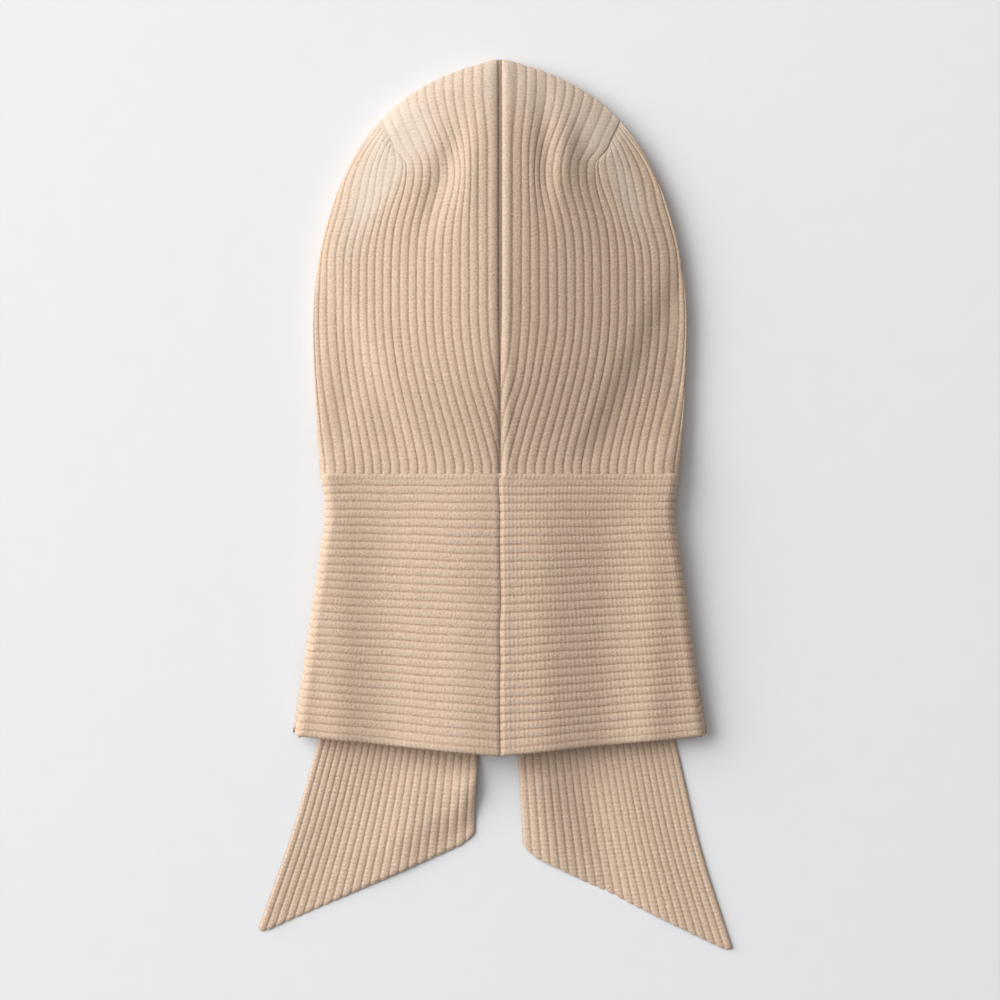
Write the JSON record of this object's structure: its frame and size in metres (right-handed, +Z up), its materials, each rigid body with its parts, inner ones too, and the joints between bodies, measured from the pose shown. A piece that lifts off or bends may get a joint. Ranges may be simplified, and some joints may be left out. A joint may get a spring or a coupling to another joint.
{
  "type": "knitted balaclava",
  "caption": "Ribbed knit balaclava hood lying face down, with a face opening, a flared sideways-ribbed collar and two pointed ribbed tie ends that fan out below the hem.",
  "frame": {"origin": "middle of the bounding box in plan, on the surface that the balaclava lies on", "axes": "+Z up out of the back of the head, +Y from the collar to the crown, +X to the right as seen from above; the centre seam lies in the plane x = 0"},
  "size_m": [0.303, 0.5696, 0.036],
  "materials": {
    "hood_knit": "matte knit",
    "collar_knit": "matte knit",
    "tail_knit": "matte knit",
    "band_knit": "matte knit",
    "seam_yarn": "matte knit",
    "label_tape": "matte knit"
  },
  "bodies": {
    "collar": {"collar_left_panel": "collar_knit", "collar_right_panel": "collar_knit", "collar_back_seam": "seam_yarn", "collar_front_seam": "seam_yarn", "neck_link": "seam_yarn", "left_tail_seam": "seam_yarn", "right_tail_seam": "seam_yarn"},
    "hood": {"hood_left_panel": "hood_knit", "hood_right_panel": "hood_knit", "hood_centre_seam": "seam_yarn", "chin_seam": "seam_yarn", "face_band": "band_knit", "face_band_link": "seam_yarn", "neck_label": "label_tape", "care_label": "label_tape"},
    "left_tail": {"left_tail_upper": "tail_knit"},
    "left_tail_tip": {"left_tail_end": "tail_knit"},
    "right_tail": {"right_tail_upper": "tail_knit"},
    "right_tail_tip": {"right_tail_end": "tail_knit"}
  },
  "joints": [
    {"name": "neck_fold", "type": "hinge", "parent": "collar", "child": "hood", "pos_m": [0, 0.018, 0.026], "axis": [1, 0, 0], "range_deg": [0, 150]},
    {"name": "left_tail_swing", "type": "hinge", "parent": "collar", "child": "left_tail", "pos_m": [-0.034, 0, 0.003], "axis": [0, 0, -1], "range_deg": [-3, 15]},
    {"name": "left_tail_lift", "type": "hinge", "parent": "left_tail", "child": "left_tail_tip", "pos_m": [-0.067, -0.174, 0.0055], "axis": [-1, 0, 0], "range_deg": [0, 75]},
    {"name": "right_tail_swing", "type": "hinge", "parent": "collar", "child": "right_tail", "pos_m": [0.035, 0, 0.003], "axis": [0, 0, 1], "range_deg": [-3, 15]},
    {"name": "right_tail_lift", "type": "hinge", "parent": "right_tail", "child": "right_tail_tip", "pos_m": [0.067, -0.174, 0.0055], "axis": [-1, 0, 0], "range_deg": [0, 75]}
  ]
}
